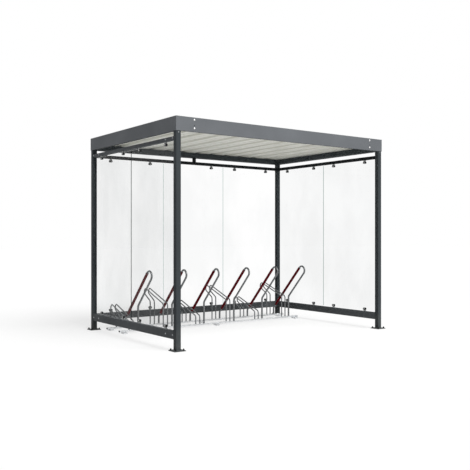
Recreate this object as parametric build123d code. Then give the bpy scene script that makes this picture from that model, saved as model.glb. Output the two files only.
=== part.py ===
from build123d import *
import math
import os

# Glazed bike shelter with an open front and a six-place rack.
# Millimetres, +Z up, origin on the ground at the middle of the plan, front towards -Y.

# Frame, over the outside of the posts
width = 3160
depth = 2160
height = 2500
post_size = 60
post_wall = 3
post_corner = 5

# Base plates
plate_size = 140
plate_thickness = 8
plate_corner = 6
anchor_spacing = 100
anchor_hole = 14

# Roof: beams on the posts, a fascia outside them, a trapezoidal sheet between
fascia_height = 155
fascia_thickness = 4
fascia_lip = 28
fascia_overlap = 5
beam_height = 70
beam_wall = 3
spigot_size = 50
spigot_length = 90
spigot_wall = 3
sheet_thickness = 0.8
sheet_pitch = 250
sheet_depth = 50
crown_width = 40
crown_base = 100
crown_shift = 40
groove_width = 24
groove_top = 12
groove_depth = 5
sheet_end_gap = 6
sheet_side_gap = 0.3

# Rails between the posts on the left, back and right
rail_depth = 50
rail_wall = 3
rail_corner = 4
upper_rail_height = 40
upper_rail_drop = 60
lower_rail_height = 90
lower_rail_bottom = 120
strut_size = 40
strut_wall = 3
inner_corner_least = 0.5

# Glass and its clamps
glass_thickness = 8
glass_gap = 6
glass_reveal = 13
side_panes = 2
back_panes = 3
clamp_inset = 210
clamp_play = 0.3
cheek_width = 44
cheek_height = 28
cheek_thickness = 8
cheek_corner = 11
stem_width = 24
stem_height = 18
bridge_height = 12

# Bike rack: two floor rails, lean-on hoops and alternating low and high wheel holders
places = 6
place_pitch = 500
holder_to_hoop = 100
rack_end = 165
rack_setback = 242
rack_depth = 351
floor_rail_width = 30
floor_rail_height = 20
floor_rail_wall = 2
foot_thickness = 20
foot_width = 50
foot_length = 90
foot_overhang = 12
foot_hole = 12
foot_rows = 3
foot_inset = 60

hoop_tube = 25
hoop_lean = 46.4
hoop_gap = 120
hoop_knee = 137
hoop_top = 801
hoop_bend = 55
hoop_crown_flat = 1
sleeve_outer = 31
sleeve_play = 0.3
sleeve_start = 70
sleeve_end = 12

holder_bar = 16
holder_gap = 64
holder_knee = 350
holder_drop = 190
holder_rise = 30
holder_nose = 173
nose_turn = 76
nose_bend = 35
holder_slope = 20
holder_bend = 40

# Levels and lines that follow from the sizes above
beam_bottom = height - fascia_height + fascia_overlap
beam_top = beam_bottom + beam_height
upper_rail_top = beam_bottom - upper_rail_drop
upper_rail_bottom = upper_rail_top - upper_rail_height
lower_rail_top = lower_rail_bottom + lower_rail_height
post_x = (width - post_size) / 2
post_y = (depth - post_size) / 2
span_x = width - 2 * post_size
span_y = depth - 2 * post_size
floor_rail_top = foot_thickness + floor_rail_height
rack_length = (places - 1) * place_pitch + holder_to_hoop + 2 * rack_end
rack_back = depth / 2 - rack_setback
rack_front = rack_back - rack_depth

CORNERS = {"front_left": (-1, -1), "front_right": (1, -1), "back_left": (-1, 1), "back_right": (1, 1)}

nodes = {}


def tube_section(size_x, size_y, wall, corner):
    """Hollow rectangular section with rounded corners."""
    outer = RectangleRounded(size_x, size_y, corner)
    inner_corner = max(corner - wall, inner_corner_least)
    inner = RectangleRounded(size_x - 2 * wall, size_y - 2 * wall, inner_corner)
    return outer - inner


def tube_up(size_x, size_y, wall, corner, bottom, top):
    """Upright rectangular tube, centred on the origin in plan."""
    return Pos(0, 0, bottom) * extrude(tube_section(size_x, size_y, wall, corner), top - bottom)


def tube_along_x(length, size_y, size_z, wall, corner):
    """Level rectangular tube along X, centred on the origin."""
    section = Plane.YZ * tube_section(size_y, size_z, wall, corner)
    return Pos(-length / 2, 0, 0) * extrude(section, length)


def bent_bar(points, radii, diameter):
    """Round bar along a path of straight runs joined by tangent arcs."""
    path = FilletPolyline(*points, radius=radii)
    start = Plane(origin=path @ 0, z_dir=path % 0)
    return sweep(start * Circle(diameter / 2), path=path)


def folded_strip(points, thickness):
    """Closed outline of a folded sheet whose underside follows the points, left to right."""
    upper = []
    for i, (x, z) in enumerate(points):
        before = points[max(i - 1, 0)]
        after = points[min(i + 1, len(points) - 1)]
        angle_in = math.atan2(z - before[1], x - before[0]) if i > 0 else None
        angle_out = math.atan2(after[1] - z, after[0] - x) if i < len(points) - 1 else angle_in
        if angle_in is None:
            angle_in = angle_out
        middle = (angle_in + angle_out) / 2
        reach = thickness / math.cos((angle_out - angle_in) / 2)
        upper.append((x - reach * math.sin(middle), z + reach * math.cos(middle)))
    return list(points) + upper[::-1]


# Posts and base plates
def make_posts():
    post = tube_up(post_size, post_size, post_wall, post_corner, plate_thickness, beam_bottom)
    plate = extrude(RectangleRounded(plate_size, plate_size, plate_corner), plate_thickness)
    for place in GridLocations(anchor_spacing, anchor_spacing, 2, 2):
        plate -= place * extrude(Circle(anchor_hole / 2), plate_thickness)
    for name, (side_x, side_y) in CORNERS.items():
        spot = Pos(side_x * post_x, side_y * post_y, 0)
        nodes["post_" + name] = spot * post
        nodes["base_plate_" + name] = spot * plate


# Roof beams: the front and back ones run over the posts and carry the spigots
def make_beams():
    middle_z = (beam_bottom + beam_top) / 2
    spigot = tube_up(spigot_size, spigot_size, spigot_wall, post_corner, -spigot_length, 0)
    long_beam = tube_along_x(width, post_size, beam_height, beam_wall, post_corner)
    for side in (-1, 1):
        long_beam += Pos(side * post_x, 0, -beam_height / 2) * spigot
    short_beam = Rot(0, 0, 90) * tube_along_x(span_y, post_size, beam_height, beam_wall, post_corner)
    nodes["roof_beam_front"] = Pos(0, -post_y, middle_z) * long_beam
    nodes["roof_beam_back"] = Pos(0, post_y, middle_z) * long_beam
    nodes["roof_beam_left"] = Pos(-post_x, 0, middle_z) * short_beam
    nodes["roof_beam_right"] = Pos(post_x, 0, middle_z) * short_beam


# Fascia: folded sheet with an inward top lip, mitred at the corners
def make_fascia():
    half_x = width / 2 + fascia_thickness
    half_y = depth / 2 + fascia_thickness
    bottom = height - fascia_height
    wall = Rectangle(2 * half_x, 2 * half_y) - Rectangle(width, depth)
    lip = Rectangle(2 * half_x, 2 * half_y) - Rectangle(width - 2 * fascia_lip, depth - 2 * fascia_lip)
    ring = Pos(0, 0, bottom) * extrude(wall, fascia_height)
    ring += Pos(0, 0, height - fascia_thickness) * extrude(lip, fascia_thickness)
    reach = fascia_thickness + fascia_lip
    for name, long_side, short_side, turn in (("front", half_x, half_y, 0), ("right", half_y, half_x, 90),
                                              ("back", half_x, half_y, 180), ("left", half_y, half_x, 270)):
        wedge = Polygon((-long_side, -short_side), (long_side, -short_side),
                        (long_side - reach, reach - short_side), (reach - long_side, reach - short_side),
                        align=None)
        keep = Rot(0, 0, turn) * Pos(0, 0, bottom) * extrude(wedge, fascia_height)
        nodes["fascia_" + name] = ring & keep


# Roof sheet: trapezoidal crowns running front to back, with a stiffening groove in each pan
def make_roof_sheet():
    half = width / 2 - sheet_side_gap
    web = (crown_base - crown_width) / 2
    count = int(width // sheet_pitch) + 2
    points = [(-half, 0)]
    for i in range(count):
        crown = crown_shift + (i - count // 2) * sheet_pitch
        groove = crown + sheet_pitch / 2
        rise = [(crown - crown_base / 2, 0), (crown - crown_base / 2 + web, sheet_depth),
                (crown + crown_base / 2 - web, sheet_depth), (crown + crown_base / 2, 0)]
        dent = [(groove - groove_width / 2, 0), (groove - groove_top / 2, groove_depth),
                (groove + groove_top / 2, groove_depth), (groove + groove_width / 2, 0)]
        for shape in (rise, dent):
            if shape[0][0] > -half and shape[-1][0] < half:
                points += shape
    points.append((half, 0))
    outline = Polygon(*folded_strip(points, sheet_thickness), align=None)
    length = depth - 2 * sheet_end_gap
    sheet = extrude(Plane.XZ * outline, length)
    nodes["roof_sheet"] = Pos(0, length / 2, beam_top) * sheet


# Rails between the posts, and the short strut over the middle of the back rail
def make_rails():
    for level, rail_height, bottom in (("upper", upper_rail_height, upper_rail_bottom),
                                       ("lower", lower_rail_height, lower_rail_bottom)):
        middle_z = bottom + rail_height / 2
        back = tube_along_x(span_x, rail_depth, rail_height, rail_wall, rail_corner)
        side = Rot(0, 0, 90) * tube_along_x(span_y, rail_depth, rail_height, rail_wall, rail_corner)
        nodes[level + "_rail_back"] = Pos(0, post_y, middle_z) * back
        nodes[level + "_rail_left"] = Pos(-post_x, 0, middle_z) * side
        nodes[level + "_rail_right"] = Pos(post_x, 0, middle_z) * side
    strut = tube_up(strut_size, strut_size, strut_wall, rail_corner, upper_rail_top, beam_bottom)
    nodes["rail_strut_back"] = Pos(0, post_y, 0) * strut


def clamp():
    """One glass clamp standing on a rail: a bridge under the pane and two cheeks on stems, glass along X."""
    gap = glass_thickness + 2 * clamp_play
    body_depth = gap + 2 * cheek_thickness
    cheek_z = stem_height + cheek_height / 2
    outline = Pos(0, cheek_z) * RectangleRounded(cheek_width, cheek_height, cheek_corner)
    outline += Pos(0, cheek_z / 2) * Rectangle(stem_width, cheek_z)
    cheek = extrude(Plane.XZ * outline, cheek_thickness)
    body = Pos(0, 0, bridge_height / 2) * Box(stem_width, body_depth, bridge_height)
    body += Pos(0, -gap / 2, 0) * cheek
    body += Pos(0, gap / 2 + cheek_thickness, 0) * cheek
    return body


# Glass panes in the left, back and right sides, each held by four clamps
def make_glazing():
    bottom = lower_rail_top + glass_reveal
    pane_height = upper_rail_bottom - glass_reveal - bottom
    one_clamp = clamp()
    sides = (("left", span_y, side_panes, Pos(-post_x, 0, 0) * Rot(0, 0, 90)),
             ("back", span_x, back_panes, Pos(0, post_y, 0)),
             ("right", span_y, side_panes, Pos(post_x, 0, 0) * Rot(0, 0, 90)))
    for name, span, panes, turn in sides:
        bay = span / panes
        pane_width = (span - (panes + 1) * glass_gap) / panes
        clamps = []
        for i in range(panes):
            middle = -span / 2 + glass_gap + pane_width / 2 + i * (pane_width + glass_gap)
            pane = Pos(middle, 0, bottom + pane_height / 2) * Box(pane_width, glass_thickness, pane_height)
            nodes[f"glass_{name}_{i + 1}"] = turn * pane
            for end in (-1, 1):
                place = -span / 2 + (i + 0.5) * bay + end * (bay / 2 - clamp_inset)
                clamps.append(turn * Pos(place, 0, lower_rail_top) * one_clamp)
                clamps.append(turn * Pos(place, 0, upper_rail_bottom) * Rot(180, 0, 0) * one_clamp)
        nodes["glass_clamps_" + name] = Compound(children=clamps)


# Floor rails of the rack and the bolted feet under them
def make_rack_base():
    rail = tube_along_x(rack_length, floor_rail_width, floor_rail_height, floor_rail_wall, floor_rail_wall)
    rail_z = foot_thickness + floor_rail_height / 2
    nodes["rack_rail_front"] = Pos(0, rack_front, rail_z) * rail
    nodes["rack_rail_back"] = Pos(0, rack_back, rail_z) * rail
    feet = []
    for row in range(foot_rows):
        x = (rack_length / 2 - foot_inset) * (2 * row / (foot_rows - 1) - 1)
        for line, outward in ((rack_front, -1), (rack_back, 1)):
            middle = line + outward * (foot_length / 2 - floor_rail_width / 2 - foot_overhang)
            hole = line + outward * (foot_length - floor_rail_width - foot_overhang)
            foot = Pos(x, middle, foot_thickness / 2) * Box(foot_width, foot_length, foot_thickness)
            foot -= Pos(x, hole, 0) * extrude(Circle(foot_hole / 2), foot_thickness)
            feet.append(foot)
    nodes["rack_feet"] = Compound(children=feet)


def hoop_lines():
    """Bend points of a hoop as (y, z), rear foot to front foot, and the top of the rear leg's slope."""
    lean = math.radians(hoop_lean)
    slope_y, slope_z = -math.cos(lean), math.sin(lean)
    normal_y, normal_z = -math.sin(lean), -math.cos(lean)
    rear_knee = (rack_back, hoop_knee)
    crown_z = hoop_top - (hoop_gap + hoop_tube) / 2
    reach = (crown_z - hoop_knee - normal_z * hoop_gap / 2) / slope_z + hoop_gap / 2
    rear_top = (rear_knee[0] + reach * slope_y, rear_knee[1] + reach * slope_z)
    front_top = (rear_top[0] + hoop_gap * normal_y, rear_top[1] + hoop_gap * normal_z)
    down = (front_top[0] - rack_front) / slope_y
    front_knee = (rack_front, front_top[1] - down * slope_z)
    return [(rack_back, floor_rail_top), rear_knee, rear_top, front_top, front_knee,
            (rack_front, floor_rail_top)]


# Lean-on hoops: one bent tube each, with a plastic sleeve on the rear leg's slope
def make_hoops():
    line = hoop_lines()
    turn = (hoop_gap - hoop_crown_flat) / 2
    hoop = bent_bar([(0, y, z) for y, z in line], [hoop_bend, turn, turn, hoop_bend], hoop_tube)
    start, end = (Vector(0, *line[1]), Vector(0, *line[2]))
    along = (end - start).normalized()
    length = (end - start).length - sleeve_start - sleeve_end - turn
    ring = Circle(sleeve_outer / 2) - Circle(hoop_tube / 2 + sleeve_play)
    sleeve = extrude(Plane(origin=start + along * sleeve_start, z_dir=along) * ring, length)
    sleeves = []
    for i in range(places):
        x = (i - (places - 1) / 2) * place_pitch + holder_to_hoop / 2
        nodes[f"lean_hoop_{i + 1}"] = Pos(x, 0, 0) * hoop
        sleeves.append(Pos(x, 0, 0) * sleeve)
    nodes["hoop_sleeves"] = Compound(children=sleeves)


def holder_bend_points(knee):
    """Bend points of a wheel holder's bar as (y, z), rear foot to front foot."""
    rise = math.radians(holder_rise)
    slope = math.radians(holder_slope)
    nose_low = (rack_back + holder_nose, knee + holder_nose * math.tan(rise))
    across = math.radians(90 + (holder_rise + holder_slope) / 2)
    nose_high = (nose_low[0] + nose_turn * math.cos(across), nose_low[1] + nose_turn * math.sin(across))
    front_knee = (rack_front, nose_high[1] - (nose_high[0] - rack_front) * math.tan(slope))
    return [(rack_back, floor_rail_top), (rack_back, knee), nose_low, nose_high, front_knee,
            (rack_front, floor_rail_top)]


# Wheel holders: two bent bars side by side, low and high ones in turn
def make_holders():
    radii = [holder_bend, nose_bend, nose_bend, holder_bend]
    bars = {}
    for name, knee in (("low", holder_knee - holder_drop), ("high", holder_knee)):
        bars[name] = bent_bar([(0, y, z) for y, z in holder_bend_points(knee)], radii, holder_bar)
    for i in range(places):
        name = "low" if i % 2 == 0 else "high"
        x = (i - (places - 1) / 2) * place_pitch - holder_to_hoop / 2
        pair = [Pos(x + side * holder_gap / 2, 0, 0) * bars[name] for side in (-1, 1)]
        nodes[f"wheel_holder_{i + 1}_{name}"] = Compound(children=pair)


make_posts()
make_beams()
make_fascia()
make_roof_sheet()
make_rails()
make_glazing()
make_rack_base()
make_hoops()
make_holders()

os.makedirs("parts", exist_ok=True)
for node_name, shape in nodes.items():
    export_step(shape, f"parts/{node_name}.step")
print(len(nodes), "nodes written")
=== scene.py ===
import math

import bpy
import numpy as np
from bpy.props import FloatProperty, FloatVectorProperty, PointerProperty
from bpy.types import Operator, Panel, PropertyGroup
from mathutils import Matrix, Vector


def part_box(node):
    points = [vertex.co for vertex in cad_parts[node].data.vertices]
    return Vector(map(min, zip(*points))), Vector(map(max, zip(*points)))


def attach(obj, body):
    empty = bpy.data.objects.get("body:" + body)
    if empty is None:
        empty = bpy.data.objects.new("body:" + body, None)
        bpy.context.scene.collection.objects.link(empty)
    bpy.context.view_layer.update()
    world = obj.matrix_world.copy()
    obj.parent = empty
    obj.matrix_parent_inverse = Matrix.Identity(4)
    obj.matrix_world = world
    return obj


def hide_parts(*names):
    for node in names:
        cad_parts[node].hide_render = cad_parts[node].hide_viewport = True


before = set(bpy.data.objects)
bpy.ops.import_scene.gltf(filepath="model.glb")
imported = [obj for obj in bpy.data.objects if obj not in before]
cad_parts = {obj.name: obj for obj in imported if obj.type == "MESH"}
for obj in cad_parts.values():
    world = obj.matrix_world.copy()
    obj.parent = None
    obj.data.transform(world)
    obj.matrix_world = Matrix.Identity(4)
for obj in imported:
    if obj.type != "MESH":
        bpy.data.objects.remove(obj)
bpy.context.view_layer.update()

bl_info = {
    "name": "Glazed Bike Shelter",
    "version": (1, 0, 0),
    "blender": (4, 5, 0),
    "location": "3D View > Sidebar > Shelter",
    "description": "Dresses a packed bike shelter with its finishes, fixings, welds and studio",
    "category": "Object",
}


def nodes_named(*starts):
    """The packed nodes whose names start in one of these ways."""
    return [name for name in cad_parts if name.startswith(starts)]


POST_NODES = nodes_named("post_", "base_plate_", "roof_beam_")
# Painted shade: these rails and struts take a darker copy of the rails' powder coat, for the shade inside the
# shelter.
SHADED_RAIL_NODES = nodes_named("rail_strut_", "upper_rail_back", "upper_rail_right")
RAIL_NODES = nodes_named("lower_rail_", "upper_rail_left")
FASCIA_NODES = nodes_named("fascia_")
RACK_NODES = nodes_named("lean_hoop_", "wheel_holder_")
RACK_BASE_NODES = nodes_named("rack_")
CLAMP_NODES = nodes_named("glass_clamps_")
GLASS_NODES = [name for name in nodes_named("glass_") if name not in CLAMP_NODES]

RACK_PLACES = 6
WHITE = (1.0, 1.0, 1.0, 1.0)
DUST = (0.24, 0.225, 0.20, 1.0)
DIMMED_BY_A_PANE = (0.93, 0.94, 0.94, 1.0)


# Sizes and colours


def length(name, description, default):
    return FloatProperty(name=name, description=description, default=default, min=0.0, unit="LENGTH",
                         subtype="DISTANCE", precision=4)


def angle_of(name, description, degrees):
    return FloatProperty(name=name, description=description, default=math.radians(degrees),
                         subtype="ANGLE", unit="ROTATION")


def strength(name, description, default):
    return FloatProperty(name=name, description=description, default=default, min=0.0)


def colour(name, description, default):
    return FloatVectorProperty(name=name, description=description, default=default, size=3, min=0.0, max=1.0,
                               subtype="COLOR")


class ShelterFixings(PropertyGroup):
    """Sizes of the screws, bolts, clamps and welds."""
    fascia_screw_inset: length("Fascia screw inset", "From each fascia end to its pair of screws", 0.230)
    fascia_screw_drop: length("Fascia screw drop", "From the fascia top to the upper screw", 0.027)
    fascia_screw_gap: length("Fascia screw gap", "Between the two screws of a pair", 0.092)
    fascia_screw_head: length("Fascia screw head", "Diameter of a fascia screw head", 0.021)
    fascia_plug_drop: length("Fascia plug drop", "From the fascia top to the plug between a pair", 0.086)
    fascia_plug: length("Fascia plug", "Diameter of the plug in a spare hole", 0.009)
    post_screw_drop: length("Post screw drop", "From the post top to the spigot screw", 0.023)
    rail_bolt_near: length("Rail bolt, near", "From a rail end to its first bolt", 0.020)
    rail_bolt_far: length("Rail bolt, far", "From a rail end to its second bolt", 0.170)
    bolt_width: length("Bolt width", "Across the flats of a rail bolt's head", 0.013)
    anchor_spacing: length("Anchor spacing", "Between the anchor bolts of a base plate", 0.100)
    anchor_thread: length("Anchor thread", "Diameter of an anchor bolt's thread", 0.012)
    clamp_inset: length("Clamp inset", "From the edge of a pane's bay to the middle of a clamp", 0.210)
    clamp_body: length("Clamp body", "Across the two cheeks of a clamp", 0.0246)
    clamp_stem: length("Clamp stem", "From the rail to the clamp's cheeks", 0.018)
    clamp_height: length("Clamp height", "Height of a clamp's cheeks", 0.028)
    rib_pitch: length("Rib pitch", "From one rib of the roof sheet to the next", 0.250)
    sheet: length("Roof sheet", "Thickness of the roof sheet", 0.0008)
    weld: length("Weld bead", "Width of a weld bead", 0.005)


class ShelterRack(PropertyGroup):
    """Places and sizes of the rack's bars, which its welds and sleeves follow."""
    pitch: length("Place pitch", "From one bicycle place to the next", 0.500)
    offset: length("Holder to hoop", "From a wheel holder to its hoop", 0.100)
    holder_gap: length("Holder gap", "Between the two bars of a wheel holder", 0.064)
    hoop_tube: length("Hoop tube", "Diameter of a hoop's tube", 0.025)
    hoop_lean: angle_of("Hoop lean", "Slope of the hoops above the floor", 46.4)
    plain_sleeve: length("Plain sleeve", "Diameter of the sleeves' solids", 0.031)
    sleeve: length("Sleeve", "Diameter of a plastic sleeve", 0.0355)
    holder_bar: length("Holder bar", "Diameter of a wheel holder's bar", 0.016)


class ShelterCoats(PropertyGroup):
    """Colours of the finishes."""
    post_coat: colour("Post coat", "Powder coat of posts, base plates and beams", (0.052, 0.060, 0.065))
    # Painted shade: the back and right upper rails and the rail struts have the same powder coat as the other
    # rails, made darker for the shade inside the shelter.
    shaded_rail_coat: colour("Top rail coat", "Darker powder coat of the back and right upper rails",
                          (0.018, 0.020, 0.022))
    rail_coat: colour("Rail coat", "Powder coat of the lower rails and the left upper rail",
                      (0.095, 0.103, 0.110))
    fascia_coat: colour("Fascia coat", "Powder coat of the fascia", (0.166, 0.176, 0.188))
    roof_paint: colour("Roof paint", "Coil coating of the roof sheet", (0.925, 0.92, 0.83))
    # Painted shade: the panes on all three sides are the same glass. Their different tones, the left panes
    # darkest and the back panes lightest, and the different darkness of their edges stand for how light falls
    # on each side. The edges' green tint is the glass's own.
    left_glass: colour("Left glass", "What the left panes let through", (0.865, 0.87, 0.87))
    back_glass: colour("Back glass", "What the back panes let through", (0.975, 0.98, 0.98))
    right_glass: colour("Right glass", "What the right panes let through", (0.915, 0.92, 0.92))
    left_edge: colour("Left pane edges", "Polished edges of the left panes", (0.006, 0.010, 0.009))
    back_edge: colour("Back pane edges", "Polished edges of the back panes", (0.23, 0.34, 0.31))
    right_edge: colour("Right pane edges", "Polished edges of the right panes", (0.15, 0.21, 0.19))
    clamp_coat: colour("Clamp coat", "Powder coat of the clamps' cheeks", (0.016, 0.017, 0.019))
    clamp_steel: colour("Clamp steel", "Brushed stems of the clamps", (0.30, 0.31, 0.31))
    zinc: colour("Zinc", "Hot-dip galvanised hoops, wheel holders and rack welds", (0.205, 0.213, 0.218))
    # Painted light: the floor rails and feet have the same galvanising as the hoops, given a much brighter
    # copy that stands for the light on them.
    lit_base_zinc: colour("Base zinc", "Brighter zinc of the rack's floor rails and feet", (0.76, 0.77, 0.78))
    stainless: colour("Stainless steel", "Screws of the fascia, the clamps and the roof", (0.86, 0.86, 0.85))
    bolt_zinc: colour("Bolt zinc", "Dull zinc of post screws, rail bolts and rack bolts", (0.34, 0.35, 0.36))
    blackened: colour("Blackened steel", "Anchor bolts of the base plates", (0.020, 0.020, 0.021))
    sleeve: colour("Sleeve", "Plastic sleeves of the hoops", (0.150, 0.003, 0.008))
    rubber: colour("Rubber", "End caps and plugs", (0.014, 0.014, 0.015))


class ShelterStudio(PropertyGroup):
    """Camera, floor and light."""
    eye: FloatVectorProperty(name="Eye", description="Where the camera stands", size=3,
                             subtype="TRANSLATION", unit="LENGTH", default=(-5.37299, -7.39258, 1.21554))
    heading: angle_of("Heading", "Turn of the camera from straight ahead to the right", 35.8864)
    lens: FloatProperty(name="Lens", description="Focal length in millimetres", default=53.107, min=1.0)
    aside: FloatProperty(name="Lens shift", description="Sideways shift of the picture", default=-0.00100)
    rise: FloatProperty(name="Lens rise", description="Vertical shift of the picture", default=0.003687)
    sky: strength("Sky light", "Strength of the light from all round", 0.20)
    sun: strength("Sun light", "Strength of the soft main light", 3.3)
    sun_way: FloatVectorProperty(name="Sun direction", description="From the shelter towards the main light",
                                 size=3, subtype="DIRECTION", default=(0.12, -0.60, 0.79))
    softness: angle_of("Softness", "How wide the main light appears", 40)
    glow: strength("Floor glow", "How much the floor is lifted to white", 0.70)
    floor: colour("Floor", "Colour of the floor to the light that it throws back", (0.62, 0.62, 0.62))
    floor_seen: colour("Floor as seen", "Colour of the floor under its glow", (0.30, 0.30, 0.30))


PROPERTY_GROUPS = {"shelter_fixings": ShelterFixings, "shelter_rack": ShelterRack,
                   "shelter_coats": ShelterCoats, "shelter_studio": ShelterStudio}


# Shapes as whole arrays


def closed_stack(rings):
    """Solid from rings with equally many corners, one above the other, closed by a flat face at both ends.
    The rings go round anticlockwise, seen from the side of the last one."""
    rows, corners = rings.shape[:2]
    this = np.arange(corners)
    after = (this + 1) % corners
    start = np.arange(rows - 1)[:, None] * corners
    sides = np.stack([start + this, start + after, start + corners + after, start + corners + this], -1)
    last = (rows - 1) * corners + this
    return rings.reshape(-1, 3), [sides.reshape(-1, 4), this[None, ::-1], last[None]]


def turned(rows, corners=24):
    """Solid of revolution about Z. With a row (r, h) and the angle a, a point is (r cos a, r sin a, h). Six
    corners make a hexagon, whose r is then half its width over the corners."""
    rows = np.asarray(rows, float)
    angle = np.arange(corners) * 2 * math.pi / corners
    return closed_stack(np.stack([rows[:, :1] * np.cos(angle), rows[:, :1] * np.sin(angle),
                                  np.repeat(rows[:, 1:], corners, 1)], -1))


def profile(rows, radius, height, start=0.0):
    """Rows for a turned solid, from rows that are fractions of its radius and its height."""
    return [(r * radius, start + h * height) for r, h in rows]


def along_loop(loop, outward, section):
    """Closed band along a closed loop in the XY plane. With the loop's point p, its outward normal n and a
    section point (s, h), a point is p + n s, raised by h. The section goes round anticlockwise, seen with n
    to the right."""
    loop, outward, section = (np.asarray(x, float) for x in (loop, outward, section))
    flat = loop[:, None] + outward[:, None] * section[None, :, :1]
    points = np.concatenate([flat, np.broadcast_to(section[None, :, 1:], flat.shape[:2] + (1,))], -1)
    n, m = flat.shape[:2]
    i, j = np.meshgrid(np.arange(n), np.arange(m), indexing="ij")
    i2, j2 = (i + 1) % n, (j + 1) % m
    faces = np.stack([i * m + j, i2 * m + j, i2 * m + j2, i * m + j2], -1)
    return points.reshape(-1, 3), [faces.reshape(-1, 4)]


def round_loop(radius, count):
    """Circle as points p = radius (cos a, sin a) with outward normals (cos a, sin a)."""
    angle = np.arange(count) * 2 * math.pi / count
    normal = np.stack([np.cos(angle), np.sin(angle)], -1)
    return radius * normal, normal


def square_loop(half_x, half_y, corner, count):
    """Rounded rectangle. Each corner is an arc of the corner radius about its own middle, in seven points,
    and the straight side after it has the given count of evenly spaced points between the arcs."""
    turn = np.linspace(0, math.pi / 2, 7)
    loops, normals = [], []
    quarters = ((1, 1), (-1, 1), (-1, -1), (1, -1))
    middles = [np.array([sx * (half_x - corner), sy * (half_y - corner)]) for sx, sy in quarters]
    for quarter, middle in enumerate(middles):
        angle = turn + quarter * math.pi / 2
        normal = np.stack([np.cos(angle), np.sin(angle)], -1)
        end = middle + corner * normal[-1]
        begin = middles[(quarter + 1) % len(middles)] + corner * normal[-1]
        step = np.linspace(0, 1, count + 2)[1:-1, None]
        loops += [middle + corner * normal, end + (begin - end) * step]
        normals += [normal, np.repeat(normal[-1:], count, 0)]
    return np.concatenate(loops), np.concatenate(normals)


def bead(loop, outward, width, height, seed):
    """Weld bead on a loop: a half-round ridge, sunk a little into the metal. Its width and height swell by up
    to a fifth, as 1 + 0.12 sin(9 a + s) + 0.08 sin(17 a + 2.1 s) of the way a round the loop and the seed s,
    so that it looks laid by hand."""
    way = 2 * math.pi * np.arange(len(loop)) / len(loop)
    swell = 1 + 0.12 * np.sin(9 * way + seed) + 0.08 * np.sin(17 * way + 2.1 * seed)
    angle = np.linspace(0, math.pi, 6)
    sunk = -0.25
    section = np.concatenate([np.stack([np.cos(angle), np.sin(angle)], -1), [[-1, sunk], [1, sunk]]])
    points, faces = along_loop(loop, outward, section * (width / 2, height))
    base = np.concatenate([loop, np.zeros((len(loop), 1))], 1)
    base, swell = np.repeat(base, len(section), 0), np.repeat(swell, len(section))
    return base + (points - base) * swell[:, None], faces


def copies(shape, spots, frames=None):
    """The shape at every spot: a point p becomes spot + F p, where F is the spot's own turn."""
    points, faces = shape
    spots = np.asarray(spots, float).reshape(-1, 3)
    frames = np.broadcast_to(np.eye(3), (len(spots), 3, 3)) if frames is None else np.asarray(frames, float)
    placed = np.einsum("mij,nj->mni", frames, points) + spots[:, None]
    shift = np.arange(len(spots))[:, None, None] * len(points)
    return placed.reshape(-1, 3), [(f[None] + shift).reshape(-1, f.shape[1]) for f in faces]


def facing(directions):
    """A turn for each direction, as a matrix whose columns are two cross axes and the direction itself, so
    that a shape made along +Z points that way."""
    z = np.asarray(directions, float).reshape(-1, 3)
    z = z / np.linalg.norm(z, axis=1, keepdims=True)
    nearly_upright = 0.9
    helper = np.where(np.abs(z[:, 2:]) > nearly_upright, [[1.0, 0, 0]], [[0, 0, 1.0]])
    x = np.cross(helper, z)
    x /= np.linalg.norm(x, axis=1, keepdims=True)
    return np.stack([x, np.cross(z, x), z], -1)


def piece(name, shapes, finish, smooth=40.0):
    """One closed mesh object from several shapes, riding on the shelter. Edges sharper than the angle stay
    sharp."""
    points, faces, shift = [], [], 0
    for shape_points, shape_faces in shapes:
        points.append(shape_points)
        faces += [row for f in shape_faces for row in (f + shift).tolist()]
        shift += len(shape_points)
    mesh = bpy.data.meshes.new(name)
    mesh.from_pydata(np.concatenate(points).tolist(), [], faces)
    mesh.validate()
    mesh.polygons.foreach_set("use_smooth", np.ones(len(mesh.polygons), bool))
    mesh.set_sharp_from_angle(angle=math.radians(smooth))
    mesh.materials.append(named_finish(finish))
    mesh.update()
    obj = bpy.data.objects.new(name, mesh)
    bpy.context.scene.collection.objects.link(obj)
    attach(obj, "root")
    return obj


def fixings(name, shapes, spots, ways, finish):
    """A piece with the shapes at every spot, each pointing its own way, or up where no ways are given."""
    frames = None if ways is None else facing(ways)
    return piece(name, [copies(shape, spots, frames) for shape in shapes], finish)


# Profiles of small parts, each row a fraction of the radius and of the height
WASHER = ((1.0, 0.0), (1.0, 0.8), (0.97, 1.0))
HEXAGON_HEAD = ((1.0, 0.0), (1.0, 0.82), (0.90, 1.0), (0.45, 1.0), (0.40, 0.94))
RECESS = ((0.30, 1.0), (0.26, 0.45))
PLUG = ((1.0, 0.0), (1.0, 0.5), (0.8, 1.0))


def hex_bolt(width, height, washer_radius, washer):
    """Hexagon head on a washer, along +Z from the face that it sits on, with a chamfered and dished top."""
    head = profile(HEXAGON_HEAD, width / math.sqrt(3), height, start=washer)
    return [turned(profile(WASHER, washer_radius, washer)), turned(head, corners=6)]


def pan_screw(diameter, height):
    """Pan head with a round recess, along +Z. With t from 0 to 1 its crown has the radius r (1 - 0.62 t t) at
    the height h (0.25 + 0.75 sin(t pi / 2))."""
    r = diameter / 2
    t = np.linspace(0, 1, 6)
    crown = np.stack([r * (1 - 0.62 * t ** 2), height * (0.25 + 0.75 * np.sin(t * math.pi / 2))], -1)
    return [turned([(r, 0)] + crown.tolist() + profile(RECESS, r, height))]


# Helpers for material nodes


def add(tree, kind, inputs=None, **settings):
    """A node of that kind. An input given a socket is linked to it, and one given a value is set."""
    node = tree.nodes.new(kind)
    for key, value in settings.items():
        setattr(node, key, value)
    for key, value in (inputs or {}).items():
        if isinstance(value, bpy.types.NodeSocket):
            tree.links.new(value, node.inputs[key])
        else:
            node.inputs[key].default_value = value
    return node


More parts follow.
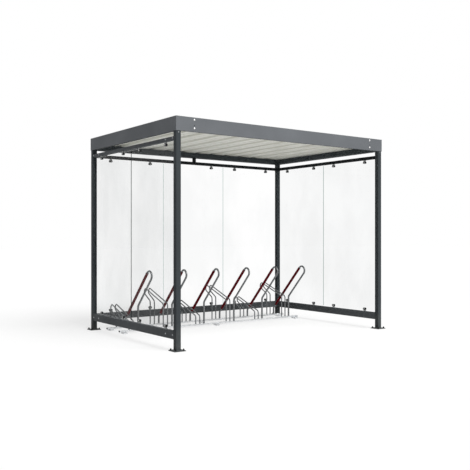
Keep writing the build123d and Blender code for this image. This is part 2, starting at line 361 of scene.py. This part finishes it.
def new_finish(name, roughness, metallic=0.0, specular=0.5):
    """A material with one Principled shader, and the Object coordinates that its pattern reads."""
    material = bpy.data.materials.new(name)
    material.use_nodes = True
    tree = material.node_tree
    tree.nodes.clear()
    shader = add(tree, "ShaderNodeBsdfPrincipled", {"Roughness": roughness, "Metallic": metallic,
                                                    "Specular IOR Level": specular})
    out = add(tree, "ShaderNodeOutputMaterial", {"Surface": shader.outputs[0]})
    place = add(tree, "ShaderNodeTexCoord").outputs["Object"]
    return material, tree, shader, out, place


def stretched(tree, place, scale):
    """The coordinates, stretched by a factor along each axis."""
    return add(tree, "ShaderNodeMapping", {"Vector": place, "Scale": scale}).outputs[0]


def noise(tree, place, scale, detail=3.0, roughness=0.55):
    """Soft noise: its scale is the number of its waves in a metre."""
    return add(tree, "ShaderNodeTexNoise", {"Vector": place, "Scale": scale, "Detail": detail,
                                            "Roughness": roughness}).outputs["Fac"]


def span(tree, value, low, high, to_low=0.0, to_high=1.0):
    """The value, carried from one range to another and held at its ends."""
    return add(tree, "ShaderNodeMapRange", {"Value": value, "From Min": low, "From Max": high,
                                            "To Min": to_low, "To Max": to_high}).outputs[0]


def maths(tree, operation, a, b=0.0):
    return add(tree, "ShaderNodeMath", {0: a, 1: b}, operation=operation).outputs[0]


def product(tree, a, b):
    return maths(tree, "MULTIPLY", a, b)


def axis_of(tree, vector, axis):
    """One coordinate of a vector."""
    return add(tree, "ShaderNodeSeparateXYZ", {"Vector": vector}).outputs[axis]


def normal_of(tree, axis):
    """One coordinate of the surface's normal."""
    return axis_of(tree, add(tree, "ShaderNodeTexCoord").outputs["Normal"], axis)


def tones(tree, factor, a, b):
    """Between two colours by the factor."""
    return add(tree, "ShaderNodeMix", {0: factor, 6: a, 7: b}, data_type="RGBA").outputs[2]


def shade(rgb, factor):
    """The colour, lighter or darker."""
    return tuple(min(1.0, c * factor) for c in rgb[:3]) + (1.0,)


def tinted(rgb, *factors):
    """The colour with a factor of its own for red, green and blue."""
    return tuple(c * factor for c, factor in zip(rgb, factors)) + (1.0,)


def wired(tree, shader, base, roughness):
    """Gives the shader its colour and its roughness."""
    tree.links.new(base, shader.inputs["Base Color"])
    tree.links.new(roughness, shader.inputs["Roughness"])


def bumped(tree, shader, height, strength, distance):
    bump = add(tree, "ShaderNodeBump", {"Height": height, "Strength": strength, "Distance": distance})
    tree.links.new(bump.outputs[0], shader.inputs["Normal"])


def powder_coat(name, rgb, dust=0.0):
    """Matt powder coat: a fine grain in the surface, slow changes of tone, and dust low on the posts."""
    material, tree, shader, _, place = new_finish(name, 0.55, specular=0.05)
    slow = span(tree, noise(tree, place, scale=1.7), 0.30, 0.70)
    base = tones(tree, slow, shade(rgb, 0.88), shade(rgb, 1.10))
    grain = noise(tree, place, scale=900.0, detail=2.0)
    base = tones(tree, span(tree, grain, 0.35, 0.75, 0.0, 0.22), base, shade(rgb, 1.8))
    if dust:
        dust_reach = 0.30
        low = span(tree, axis_of(tree, place, "Z"), 0.0, dust_reach, 1.0, 0.0)
        patchy = span(tree, noise(tree, place, scale=14.0, detail=5.0), 0.35, 0.70, 0.25, 1.0)
        base = tones(tree, product(tree, product(tree, low, patchy), dust), base, DUST)
    wired(tree, shader, base, span(tree, noise(tree, place, scale=6.0, detail=4.0), 0.3, 0.7, 0.50, 0.63))
    bumped(tree, shader, grain, strength=0.20, distance=0.0004)
    return material


def clamp_finish(name, rgb, steel):
    """Clamps: black cheeks on stems of brushed steel. A stem is what lies within a stem's length of its rail,
    and its brushing runs up and down."""
    material, tree, shader, _, place = new_finish(name, 0.40, specular=0.20)
    stem = bpy.context.scene.shelter_fixings.clamp_stem
    height = axis_of(tree, place, "Z")
    lower = maths(tree, "LESS_THAN", height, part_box("lower_rail_left")[1].z + stem)
    upper = maths(tree, "GREATER_THAN", height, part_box("upper_rail_left")[0].z - stem)
    bare = maths(tree, "MAXIMUM", lower, upper)
    brushed = noise(tree, stretched(tree, place, (500.0, 500.0, 25.0)), scale=1.0)
    grain = noise(tree, place, scale=700.0, detail=2.0)
    black = tones(tree, grain, shade(rgb, 0.80), shade(rgb, 1.60))
    metal = tones(tree, brushed, shade(steel, 0.75), shade(steel, 1.20))
    wired(tree, shader, tones(tree, bare, black, metal), span(tree, brushed, 0.3, 0.7, 0.34, 0.48))
    tree.links.new(product(tree, bare, 0.85), shader.inputs["Metallic"])
    bumped(tree, shader, grain, strength=0.15, distance=0.0003)
    return material


def coil_paint(name, rgb):
    """Coil-coated sheet: streaks along the run of the ribs, faint stains, painted shade up in the hollows of
    the underside, and a slight orange peel."""
    material, tree, shader, _, place = new_finish(name, 0.40)
    along_ribs = stretched(tree, place, (26.0, 0.8, 26.0))
    streak = span(tree, noise(tree, along_ribs, scale=1.0, detail=4.0), 0.30, 0.72)
    base = tones(tree, streak, shade(rgb, 1.04), shade(rgb, 0.93))
    stain = span(tree, noise(tree, place, scale=2.6, detail=5.0, roughness=0.65), 0.55, 0.80, 0.0, 0.30)
    base = tones(tree, stain, base, tinted(rgb, 0.80, 0.76, 0.66))
    # Painted shade: the underside is darkened up in the hollows of its ribs, where shade falls.
    low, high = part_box("roof_sheet")
    shade_in_hollow = span(tree, axis_of(tree, place, "Z"), low.z + 0.2 * (high.z - low.z), high.z)
    beneath = span(tree, normal_of(tree, "Z"), -0.10, 0.0, 1.0, 0.0)
    base = tones(tree, product(tree, shade_in_hollow, beneath), base, tinted(rgb, 0.44, 0.43, 0.40))
    wired(tree, shader, base, span(tree, streak, 0.0, 1.0, 0.34, 0.48))
    bumped(tree, shader, noise(tree, place, scale=240.0, detail=2.0), strength=0.08, distance=0.0005)
    return material


def clear_glass(name, rgb, edge, across):
    """Toughened glass: nearly clear, with a faint cloud of painted reflection, and darker through its
    polished edges, which are the faces that look along the pane; how dark it and its edges are on each side
    is painted shade. Rays that carry light to what stands behind it go straight on."""
    material, tree, shader, out, place = new_finish(name, 0.0)
    shader.inputs["Transmission Weight"].default_value = 1.0
    shader.inputs["IOR"].default_value = 1.10
    # Painted reflection: a faint cloud of lighter and darker tones in what the glass lets through.
    taller = stretched(tree, place, (1.0, 1.0, 0.55))
    reflection_cloud = span(tree, noise(tree, taller, scale=1.5, detail=4.0, roughness=0.60), 0.38, 0.62)
    base = tones(tree, reflection_cloud, shade(rgb, 1.035), shade(rgb, 0.965))
    # The edges' green is the glass's own; how dark they are on each side is painted shade.
    at_edge = span(tree, maths(tree, "ABSOLUTE", normal_of(tree, across)), 0.4, 0.6, 1.0, 0.0)
    base = tones(tree, at_edge, base, shade(edge, 1.0))
    wired(tree, shader, base, span(tree, noise(tree, place, scale=9.0, detail=5.0), 0.60, 0.80, 0.0, 0.01))
    path = add(tree, "ShaderNodeLightPath").outputs
    lights = maths(tree, "MAXIMUM", path["Is Shadow Ray"], path["Is Diffuse Ray"])
    through = add(tree, "ShaderNodeBsdfTransparent", {"Color": DIMMED_BY_A_PANE})
    mixed = add(tree, "ShaderNodeMixShader", {0: lights, 1: shader.outputs[0], 2: through.outputs[0]})
    tree.links.new(mixed.outputs[0], out.inputs["Surface"])
    return material


def zinc_bath(name, rgb, roughness=0.40, cells=55.0):
    """Hot-dip zinc: crystals of several greys with wavy borders, soft clouds, and a dull sheen that changes
    from crystal to crystal. There are that many cells in a metre."""
    material, tree, shader, _, place = new_finish(name, roughness, metallic=0.60, specular=0.30)
    waves = add(tree, "ShaderNodeTexNoise", {"Vector": place, "Scale": 30.0}).outputs["Color"]
    wavy = add(tree, "ShaderNodeMix", {0: 0.02, 4: place, 5: waves}, data_type="VECTOR").outputs[1]
    crystal = add(tree, "ShaderNodeTexVoronoi", {"Vector": wavy, "Scale": cells})
    grey = add(tree, "ShaderNodeSeparateColor", {0: crystal.outputs["Color"]}).outputs[0]
    base = tones(tree, grey, shade(rgb, 0.82), shade(rgb, 1.10))
    cloudy = span(tree, noise(tree, place, scale=5.0, detail=4.0), 0.40, 0.75, 0.0, 0.45)
    base = tones(tree, cloudy, base, tinted(rgb, 0.86, 0.88, 0.92))
    wired(tree, shader, base, span(tree, grey, 0.0, 1.0, roughness - 0.08, roughness + 0.12))
    bumped(tree, shader, noise(tree, place, scale=160.0), strength=0.12, distance=0.0006)
    return material


def turned_steel(name, rgb, roughness=0.46):
    """Metal of small fixings: a fine grain and a few duller spots."""
    material, tree, shader, _, place = new_finish(name, roughness, metallic=1.0)
    spots = span(tree, noise(tree, place, scale=130.0, detail=4.0), 0.40, 0.70)
    wired(tree, shader, tones(tree, spots, shade(rgb, 1.0), shade(rgb, 0.80)),
          span(tree, spots, 0.0, 1.0, roughness - 0.06, roughness + 0.14))
    bumped(tree, shader, noise(tree, place, scale=700.0, detail=2.0), strength=0.10, distance=0.0002)
    return material


def moulded_plastic(name, rgb, roughness, scuff):
    """Plastic that is rubbed: a fine moulded grain, slow changes of tone and sheen, and lighter scuffs that
    run up and down."""
    material, tree, shader, _, place = new_finish(name, roughness, specular=0.05)
    streaks = noise(tree, stretched(tree, place, (30.0, 6.0, 6.0)), scale=1.0, detail=5.0, roughness=0.65)
    slow = span(tree, noise(tree, place, scale=8.0), 0.30, 0.70)
    base = tones(tree, slow, shade(rgb, 0.82), shade(rgb, 1.15))
    base = tones(tree, span(tree, streaks, 0.52, 0.78, 0.0, scuff), base, shade(rgb, 2.2))
    wired(tree, shader, base, span(tree, slow, 0.0, 1.0, roughness + 0.08, roughness - 0.08))
    bumped(tree, shader, noise(tree, place, scale=650.0, detail=2.0), strength=0.12, distance=0.0003)
    return material


def named_finish(name):
    """A finish by its name, made when it is first asked for. No finish has the name of a slot in the record,
    because the packed materials have those."""
    if name in bpy.data.materials:
        return bpy.data.materials[name]
    coats = bpy.context.scene.shelter_coats
    makers = {
        "post_powder_coat": lambda: powder_coat(name, coats.post_coat, dust=0.25),
        # Painted shade: a darker copy of the rails' powder coat.
        "shaded_rail_powder_coat": lambda: powder_coat(name, coats.shaded_rail_coat),
        "rail_powder_coat": lambda: powder_coat(name, coats.rail_coat, dust=0.10),
        "fascia_powder_coat": lambda: powder_coat(name, coats.fascia_coat),
        "roof_coil_paint": lambda: coil_paint(name, coats.roof_paint),
        "left_pane_glass": lambda: clear_glass(name, coats.left_glass, coats.left_edge, "X"),
        "right_pane_glass": lambda: clear_glass(name, coats.right_glass, coats.right_edge, "X"),
        "back_pane_glass": lambda: clear_glass(name, coats.back_glass, coats.back_edge, "Y"),
        "clamp_black_and_steel": lambda: clamp_finish(name, coats.clamp_coat, coats.clamp_steel),
        "rack_zinc": lambda: zinc_bath(name, coats.zinc),
        # Painted light: a brighter copy of the rack's zinc.
        "rack_zinc_painted_light": lambda: zinc_bath(name, coats.lit_base_zinc, roughness=0.45, cells=70.0),
        "weld_zinc": lambda: zinc_bath(name, coats.zinc, roughness=0.50, cells=160.0),
        "fixing_stainless": lambda: turned_steel(name, coats.stainless),
        "fixing_dull_zinc": lambda: turned_steel(name, coats.bolt_zinc, roughness=0.45),
        "fixing_blackened": lambda: turned_steel(name, coats.blackened, roughness=0.42),
        "sleeve_rubbed_plastic": lambda: moulded_plastic(name, coats.sleeve, roughness=0.42, scuff=0.45),
        "cap_rubber": lambda: moulded_plastic(name, coats.rubber, roughness=0.55, scuff=0.25),
    }
    return makers[name]()


# Places on the shelter


def post_middles():
    """Middle of each post in plan, as (name, x, y)."""
    found = []
    for name in ("front_left", "front_right", "back_left", "back_right"):
        low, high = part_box("post_" + name)
        found.append((name, (low.x + high.x) / 2, (low.y + high.y) / 2))
    return found


def glazed_sides():
    """For each glazed side: its name, its outward direction, and whether it runs along X."""
    return (("left", (-1.0, 0.0, 0.0), False), ("right", (1.0, 0.0, 0.0), False),
            ("back", (0.0, 1.0, 0.0), True))


def place_middles(rack):
    """Middle of each of the rack's places along X, evenly spaced about the shelter's own middle."""
    return (np.arange(RACK_PLACES) - (RACK_PLACES - 1) / 2) * rack.pitch


class ShelterStep:
    """Shared by the steps: it is listed in the panel and can be undone."""
    bl_options = {"REGISTER", "UNDO"}


# Finishes on the packed nodes


class CoatStep(ShelterStep):
    """Shared by the steps that give CAD nodes a finish in place of their packed material. Each of a step's
    coats is (names of nodes, name of the finish)."""
    coats = ()

    def execute(self, context):
        for names, finish in self.coats:
            material = named_finish(finish)
            for name in names:
                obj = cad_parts[name]
                if not obj.material_slots:
                    obj.data.materials.append(material)
                for slot in obj.material_slots:
                    slot.material = material
        return {"FINISHED"}


class SHELTER_OT_coat_frame(CoatStep, Operator):
    """Powder-coats the posts, base plates, beams and rails, with painted shade on the back and right upper
    rails
    """
    bl_idname = "shelter.coat_frame"
    bl_label = "Coat the Frame"
    coats = ((POST_NODES, "post_powder_coat"), (SHADED_RAIL_NODES, "shaded_rail_powder_coat"),
             (RAIL_NODES, "rail_powder_coat"))


class SHELTER_OT_coat_fascia(CoatStep, Operator):
    """Powder-coats the folded fascia sheets"""
    bl_idname = "shelter.coat_fascia"
    bl_label = "Coat the Fascia"
    coats = ((FASCIA_NODES, "fascia_powder_coat"),)


class SHELTER_OT_paint_roof(CoatStep, Operator):
    """Paints the trapezoidal roof sheet"""
    bl_idname = "shelter.paint_roof"
    bl_label = "Paint the Roof Sheet"
    coats = ((("roof_sheet",), "roof_coil_paint"),)


class SHELTER_OT_glaze(CoatStep, Operator):
    """Gives the panes their glass"""
    bl_idname = "shelter.glaze"
    bl_label = "Glaze the Panes"
    coats = [([name for name in GLASS_NODES if side in name], side + "_pane_glass")
             for side in ("left", "back", "right")]


class SHELTER_OT_coat_clamps(CoatStep, Operator):
    """Gives the glass clamps black cheeks and steel stems"""
    bl_idname = "shelter.coat_clamps"
    bl_label = "Coat the Clamps"
    coats = ((CLAMP_NODES, "clamp_black_and_steel"),)


class SHELTER_OT_galvanise_rack(CoatStep, Operator):
    """Galvanises the hoops and wheel holders, and gives the floor rails and feet a brighter copy of the zinc,
    which is painted light
    """
    bl_idname = "shelter.galvanise_rack"
    bl_label = "Galvanise the Rack"
    coats = ((RACK_NODES, "rack_zinc"), (RACK_BASE_NODES, "rack_zinc_painted_light"))


# Sleeves


class SHELTER_OT_hoop_sleeves(ShelterStep, Operator):
    """Plastic sleeves on the hoops, a little fuller than the solids that they stand for, with broken edges.
    The sleeve's wall is a section of six points that goes round the hoop's own circle"""
    bl_idname = "shelter.hoop_sleeves"
    bl_label = "Hoop Sleeves"

    def execute(self, context):
        rack = context.scene.shelter_rack
        low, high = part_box("hoop_sleeves")
        along = np.array([0.0, -math.cos(rack.hoop_lean), math.sin(rack.hoop_lean)])
        rise = high.z - low.z - rack.plain_sleeve * math.cos(rack.hoop_lean)
        run = rise / math.sin(rack.hoop_lean)
        slack, edge = 0.0003, 0.0015
        bore = rack.hoop_tube / 2 + slack
        wall = rack.sleeve / 2 - bore
        section = [(0, 0), (wall - edge, 0), (wall, edge), (wall, run - edge), (wall - edge, run), (0, run)]
        foot = np.array([rack.offset / 2, (low.y + high.y) / 2, (low.z + high.z) / 2]) - along * run / 2
        spots = foot + place_middles(rack)[:, None] * (1, 0, 0)
        loop, outward = round_loop(bore, count=40)
        sleeves = fixings("sleeves", [along_loop(loop, outward, section)], spots, [along] * RACK_PLACES,
                          "sleeve_rubbed_plastic")
        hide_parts("hoop_sleeves")
        return {"FINISHED"}


# Fixings


class SHELTER_OT_fascia_screws(ShelterStep, Operator):
    """Screws in pairs near both ends of the front and back fascia, with a plugged hole between them"""
    bl_idname = "shelter.fascia_screws"
    bl_label = "Fascia Screws"

    def execute(self, context):
        sizes = context.scene.shelter_fixings
        screws, plugs, ways = [], [], []
        for side, way in (("front", -1), ("back", 1)):
            low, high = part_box("fascia_" + side)
            y = high.y if way > 0 else low.y
            for end in (-1, 1):
                x = end * (high.x - sizes.fascia_screw_inset)
                upper = high.z - sizes.fascia_screw_drop
                screws += [(x, y, upper), (x, y, upper - sizes.fascia_screw_gap)]
                plugs.append((x, y, high.z - sizes.fascia_plug_drop))
                ways.append((0, way, 0))
        fixings("fascia_screws", pan_screw(sizes.fascia_screw_head, height=0.005), screws,
                np.repeat(ways, 2, 0), "fixing_stainless")
        plug = turned(profile(PLUG, sizes.fascia_plug / 2, height=0.0012))
        fixings("fascia_plugs", [plug], plugs, ways, "cap_rubber")
        return {"FINISHED"}


class SHELTER_OT_post_screws(ShelterStep, Operator):
    """Screws through the post tops into the beams' spigots"""
    bl_idname = "shelter.post_screws"
    bl_label = "Post Screws"

    def execute(self, context):
        sizes = context.scene.shelter_fixings
        spots, ways = [], []
        for name, x, y in post_middles():
            low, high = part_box("post_" + name)
            spots.append((x, low.y if y < 0 else high.y, high.z - sizes.post_screw_drop))
            ways.append((0, -1 if y < 0 else 1, 0))
        fixings("post_screws", pan_screw(diameter=0.014, height=0.0045), spots, ways, "fixing_dull_zinc")
        return {"FINISHED"}


class SHELTER_OT_rail_bolts(ShelterStep, Operator):
    """Bolts on the outer faces of the rails, two at each end"""
    bl_idname = "shelter.rail_bolts"
    bl_label = "Rail Bolts"

    def execute(self, context):
        sizes = context.scene.shelter_fixings
        spots, ways = [], []
        for side, way, along_x in glazed_sides():
            for level in ("upper", "lower"):
                low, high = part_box(f"{level}_rail_{side}")
                z = (low.z + high.z) / 2
                for end in (-1, 1):
                    for inset in (sizes.rail_bolt_near, sizes.rail_bolt_far):
                        if along_x:
                            spots.append((end * (high.x - inset), high.y, z))
                        else:
                            spots.append((high.x if way[0] > 0 else low.x, end * (high.y - inset), z))
                        ways.append(way)
        bolt = hex_bolt(sizes.bolt_width, height=0.0055, washer_radius=0.0095, washer=0.0016)
        fixings("rail_bolts", bolt, spots, ways, "fixing_dull_zinc")
        return {"FINISHED"}


class SHELTER_OT_ground_anchors(ShelterStep, Operator):
    """Anchor bolts with washers and nuts in the base plates, and bolts in the rack's feet"""
    bl_idname = "shelter.ground_anchors"
    bl_label = "Ground Anchors"

    def execute(self, context):
        sizes = context.scene.shelter_fixings
        half, r = sizes.anchor_spacing / 2, sizes.anchor_thread / 2
        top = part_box("base_plate_front_left")[1].z
        spots = [(x + sx * half, y + sy * half, top) for _, x, y in post_middles()
                 for sx in (-1, 1) for sy in (-1, 1)]
        nut = hex_bolt(width=0.019, height=0.010, washer_radius=0.012, washer=0.0025)
        stud_end, chamfer, narrowed = 0.0195, 0.002, 0.8
        stud = turned([(r, -top), (r, stud_end - chamfer), (narrowed * r, stud_end)], corners=16)
        fixings("ground_anchors", nut + [stud], spots, None, "fixing_blackened")
        low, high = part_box("rack_feet")
        inset_x, inset_y = 0.025, 0.018
        feet = [(x, y, high.z) for x in (low.x + inset_x, 0.0, high.x - inset_x)
                for y in (low.y + inset_y, high.y - inset_y)]
        bolt = hex_bolt(width=0.017, height=0.0065, washer_radius=0.010, washer=0.002)
        fixings("rack_anchors", bolt, feet, None, "fixing_dull_zinc")
        return {"FINISHED"}


class SHELTER_OT_clamp_screws(ShelterStep, Operator):
    """Pan-head screws in both cheeks of every glass clamp"""
    bl_idname = "shelter.clamp_screws"
    bl_label = "Clamp Screws"

    def execute(self, context):
        sizes = context.scene.shelter_fixings
        spots, ways = [], []
        reach = sizes.clamp_stem + sizes.clamp_height / 2
        for side, _, along_x in glazed_sides():
            panes = len([name for name in GLASS_NODES if name.startswith(f"glass_{side}_")])
            rail_low, rail_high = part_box("lower_rail_" + side)
            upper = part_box("upper_rail_" + side)[0].z
            axis = 0 if along_x else 1
            start = rail_low[axis]
            bay = (rail_high[axis] - start) / panes
            middle = (rail_low[1 - axis] + rail_high[1 - axis]) / 2
            for i in range(panes):
                for end in (-1, 1):
                    place = start + (i + 0.5) * bay + end * (bay / 2 - sizes.clamp_inset)
                    for z in (rail_high.z + reach, upper - reach):
                        for face in (-1, 1):
                            out = middle + face * sizes.clamp_body / 2
                            spots.append((place, out, z) if along_x else (out, place, z))
                            ways.append((0, face, 0) if along_x else (face, 0, 0))
        fixings("clamp_screws", pan_screw(diameter=0.013, height=0.0025), spots, ways, "fixing_stainless")
        return {"FINISHED"}


class SHELTER_OT_roof_screws(ShelterStep, Operator):
    """Sheet screws with sealing washers in the pans of the roof sheet, over the beams"""
    bl_idname = "shelter.roof_screws"
    bl_label = "Roof Screws"

    def execute(self, context):
        sizes = context.scene.shelter_fixings
        beam_low, beam_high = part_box("roof_beam_front")
        y = abs(beam_low.y + beam_high.y) / 2
        z = beam_high.z + sizes.sheet
        side_low, side_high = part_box("roof_beam_left")
        x_side = abs(side_low.x + side_high.x) / 2
        pans = sizes.rib_pitch * (np.arange(-6, 6) + 0.5)
        spots = [(x, s * y, z) for x in pans for s in (-1, 1)]
        spots += [(s * x_side, v, z) for s in (-1, 1) for v in (-0.6, -0.2, 0.2, 0.6)]
        washer_radius, washer_top, slope = 0.008, 0.0024, 0.0025
        washer = turned([(washer_radius, 0), (washer_radius, washer_top / 2),
                         (washer_radius - slope, washer_top)])
        head_radius, head_foot, head_top, chamfer = 0.0046, 0.0022, 0.0066, 0.0006
        head = turned([(head_radius, head_foot), (head_radius, head_top - chamfer),
                       (head_radius - chamfer, head_top)], corners=6)
        fixings("roof_screws", [washer, head], spots, None, "fixing_stainless")
        return {"FINISHED"}


# Welds and caps


class SHELTER_OT_post_welds(ShelterStep, Operator):
    """Coated weld beads where the posts meet their base plates"""
    bl_idname = "shelter.post_welds"
    bl_label = "Post Welds"

    def execute(self, context):
        width = context.scene.shelter_fixings.weld
        low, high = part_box("post_front_left")
        half = (high.x - low.x) / 2
        loop, outward = square_loop(half, half, corner=0.005, count=14)
        shapes = [copies(bead(loop, outward, 1.6 * width, 0.7 * width, seed), [(x, y, low.z)])
                  for seed, (_, x, y) in enumerate(post_middles())]
        piece("post_welds", shapes, "post_powder_coat", smooth=70.0)
        return {"FINISHED"}


class SHELTER_OT_rack_welds(ShelterStep, Operator):
    """Zinc-covered weld beads at the feet of the hoops and wheel holders"""
    bl_idname = "shelter.rack_welds"
    bl_label = "Rack Welds"

    def execute(self, context):
        rack, width = context.scene.shelter_rack, context.scene.shelter_fixings.weld
        holder_ways = (-rack.holder_gap / 2, rack.holder_gap / 2)
        shapes = []
        for rail in ("rack_rail_front", "rack_rail_back"):
            low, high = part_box(rail)
            for middle in place_middles(rack):
                bars = [(middle + rack.offset / 2, rack.hoop_tube / 2)]
                bars += [(middle - rack.offset / 2 + way, rack.holder_bar / 2) for way in holder_ways]
                for x, radius in bars:
                    loop, outward = round_loop(radius, count=28)
                    ridge = bead(loop, outward, width, 0.55 * width, seed=len(shapes))
                    shapes.append(copies(ridge, [(x, (low.y + high.y) / 2, high.z)]))
        piece("rack_welds", shapes, "weld_zinc", smooth=70.0)
        return {"FINISHED"}


class SHELTER_OT_rail_caps(ShelterStep, Operator):
    """Plastic caps in the open ends of the rack's floor rails"""
    bl_idname = "shelter.rail_caps"
    bl_label = "Rail Caps"

    def execute(self, context):
        shapes = []
        inset, rim, top = -0.0008, 0.0022, 0.0032
        for rail in ("rack_rail_front", "rack_rail_back"):
            low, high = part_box(rail)
            loop, outward = square_loop((high.y - low.y) / 2, (high.z - low.z) / 2, corner=0.0025, count=4)
            cap = closed_stack(np.stack([np.concatenate([loop + outward * s, np.full((len(loop), 1), h)], 1)
                                         for s, h in ((0.0, 0.0), (0.0, rim), (inset, top))]))
            y, z = (low.y + high.y) / 2, (low.z + high.z) / 2
            for x, way in ((low.x, -1.0), (high.x, 1.0)):
                turn = np.array([[0, 0, way], [way, 0, 0], [0, 1, 0]], float)
                shapes.append(copies(cap, [(x, y, z)], [turn]))
        piece("rail_caps", shapes, "cap_rubber")
        return {"FINISHED"}


# The studio


class SHELTER_OT_studio(ShelterStep, Operator):
    """Pale floor, soft light and the camera"""
    bl_idname = "shelter.studio"
    bl_label = "Studio"

    def execute(self, context):
        scene, studio = context.scene, context.scene.shelter_studio
        reach, just_below = 60.0, -0.0006
        corners = [(-reach, -reach, 0), (reach, -reach, 0), (reach, reach, 0), (-reach, reach, 0)]
        mesh = bpy.data.meshes.new("floor")
        mesh.from_pydata(corners, [], [(0, 1, 2, 3)])
        floor = bpy.data.objects.new("floor", mesh)
        scene.collection.objects.link(floor)
        floor.location.z = just_below
        mesh.materials.append(self.floor_finish(studio))

        world = bpy.data.worlds.new("studio_light")
        scene.world = world
        world.use_nodes = True
        tree = world.node_tree
        tree.nodes.clear()
        sky = add(tree, "ShaderNodeBackground", {"Color": WHITE, "Strength": studio.sky})
        white = add(tree, "ShaderNodeBackground", {"Color": WHITE, "Strength": 1.0})
        mixed = add(tree, "ShaderNodeMixShader", {0: self.seen_rays(tree), 1: sky.outputs[0],
                                                  2: white.outputs[0]})
        add(tree, "ShaderNodeOutputWorld", {"Surface": mixed.outputs[0]})

        lamp = bpy.data.lights.new("main_light", "SUN")
        lamp.energy = studio.sun
        lamp.angle = studio.softness
        sun = bpy.data.objects.new("main_light", lamp)
        sun.rotation_euler = Vector(studio.sun_way).to_track_quat("Z", "Y").to_euler()
        scene.collection.objects.link(sun)

        lens = bpy.data.cameras.new("camera")
        lens.sensor_width = 36.0
        lens.lens = studio.lens
        lens.shift_x = studio.aside
        lens.shift_y = studio.rise
        lens.clip_end = 300.0
        camera = bpy.data.objects.new("camera", lens)
        camera.location = studio.eye
        camera.rotation_euler = (math.radians(90), 0.0, -studio.heading)
        scene.collection.objects.link(camera)
        scene.camera = camera
        scene.view_settings.view_transform = "Standard"
        return {"FINISHED"}

    @staticmethod
    def seen_rays(tree):
        """1 for camera, mirror and see-through rays, and 0 for rays that only carry light."""
        path = add(tree, "ShaderNodeLightPath").outputs
        either = maths(tree, "MAXIMUM", path["Is Camera Ray"], path["Is Glossy Ray"])
        return maths(tree, "MAXIMUM", either, path["Is Transmission Ray"])

    def floor_finish(self, studio):
        """Matt floor. Where it is looked at it is grey and lifted to white by a glow, so that it meets the
        background and keeps a faint shadow; to the rays that only carry light it is a pale floor without a
        glow."""
        material, tree, shader, out, place = new_finish("floor_white", 0.9, specular=0.0)
        seen = self.seen_rays(tree)
        faint = span(tree, noise(tree, place, scale=3.0), 0.3, 0.7)
        looked_at = tones(tree, faint, shade(studio.floor_seen, 0.995), shade(studio.floor_seen, 1.005))
        tree.links.new(tones(tree, seen, shade(studio.floor, 1.0), looked_at), shader.inputs["Base Color"])
        lift = product(tree, seen, studio.glow)
        glow = add(tree, "ShaderNodeEmission", {"Color": WHITE, "Strength": lift})
        both = add(tree, "ShaderNodeAddShader", {0: shader.outputs[0], 1: glow.outputs[0]})
        tree.links.new(both.outputs[0], out.inputs["Surface"])
        return material


STEPS = (SHELTER_OT_studio, SHELTER_OT_coat_frame, SHELTER_OT_coat_fascia, SHELTER_OT_paint_roof,
         SHELTER_OT_glaze, SHELTER_OT_coat_clamps, SHELTER_OT_galvanise_rack, SHELTER_OT_hoop_sleeves,
         SHELTER_OT_fascia_screws, SHELTER_OT_post_screws, SHELTER_OT_rail_bolts, SHELTER_OT_ground_anchors,
         SHELTER_OT_clamp_screws, SHELTER_OT_roof_screws, SHELTER_OT_post_welds, SHELTER_OT_rack_welds,
         SHELTER_OT_rail_caps)


class SHELTER_PT_panel(Panel):
    """Lists the steps and their sizes in the 3D view's sidebar"""
    bl_idname = "SHELTER_PT_panel"
    bl_label = "Bike Shelter"
    bl_space_type = "VIEW_3D"
    bl_region_type = "UI"
    bl_category = "Shelter"

    def draw(self, context):
        layout = self.layout
        for step in STEPS:
            layout.operator(step.bl_idname)
        for key, group in PROPERTY_GROUPS.items():
            box = layout.box()
            box.label(text=group.__doc__)
            for name in group.__annotations__:
                box.prop(getattr(context.scene, key), name)


def register():
    for group in PROPERTY_GROUPS.values():
        bpy.utils.register_class(group)
    for key, group in PROPERTY_GROUPS.items():
        setattr(bpy.types.Scene, key, PointerProperty(type=group))
    for step in STEPS:
        bpy.utils.register_class(step)
    bpy.utils.register_class(SHELTER_PT_panel)


def unregister():
    bpy.utils.unregister_class(SHELTER_PT_panel)
    for step in reversed(STEPS):
        bpy.utils.unregister_class(step)
    for key in PROPERTY_GROUPS:
        delattr(bpy.types.Scene, key)
    for group in reversed(list(PROPERTY_GROUPS.values())):
        bpy.utils.unregister_class(group)


def main():
    register()
    for step in STEPS:
        area, name = step.bl_idname.split(".")
        getattr(getattr(bpy.ops, area), name)()


if __name__ == "__main__":
    main()
